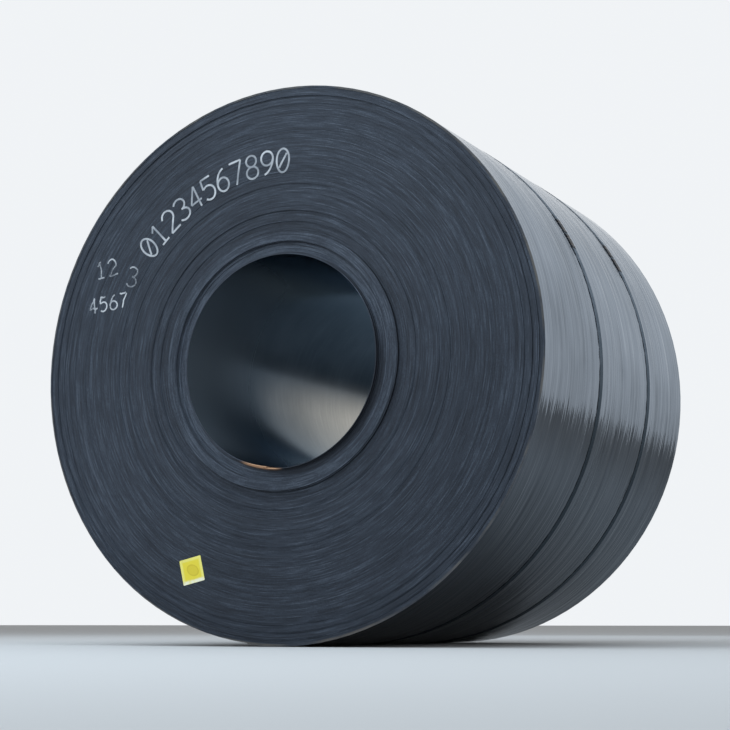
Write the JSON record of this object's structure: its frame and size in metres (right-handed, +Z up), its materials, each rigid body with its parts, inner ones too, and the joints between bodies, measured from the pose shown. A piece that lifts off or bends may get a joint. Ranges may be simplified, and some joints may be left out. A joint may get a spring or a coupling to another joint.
{
  "type": "steel coil",
  "caption": "Tightly wound coil of hot-rolled steel strip with an open bore, held by two steel belly straps; raw stock lying on its side.",
  "frame": {"origin": "on the ground under the middle of the coil, which lies on its two straps", "axes": "+Z up, Y along the coil's axis with the marked end facing -Y, +X to the right as the marked end is seen"},
  "size_m": [1.9324, 1.516, 1.9325],
  "materials": {
    "rolled_steel": "satin mill scale, blue-grey, with fine turn lines on the ends",
    "strapping": "blued and waxed steel strapping",
    "seal_steel": "dark steel seals, worn at the notches",
    "marking": "matt white marking paint and chalk, worn over the turns' edges",
    "label_sticker": "matt yellow sticker with a faint plain mark"
  },
  "bodies": {
    "root": {"coil": "rolled_steel", "front_strap": "strapping", "rear_strap": "strapping", "front_lower_seal": "seal_steel", "front_upper_seal": "seal_steel", "rear_lower_seal": "seal_steel", "rear_upper_seal": "seal_steel", "label": "label_sticker"}
  },
  "joints": []
}
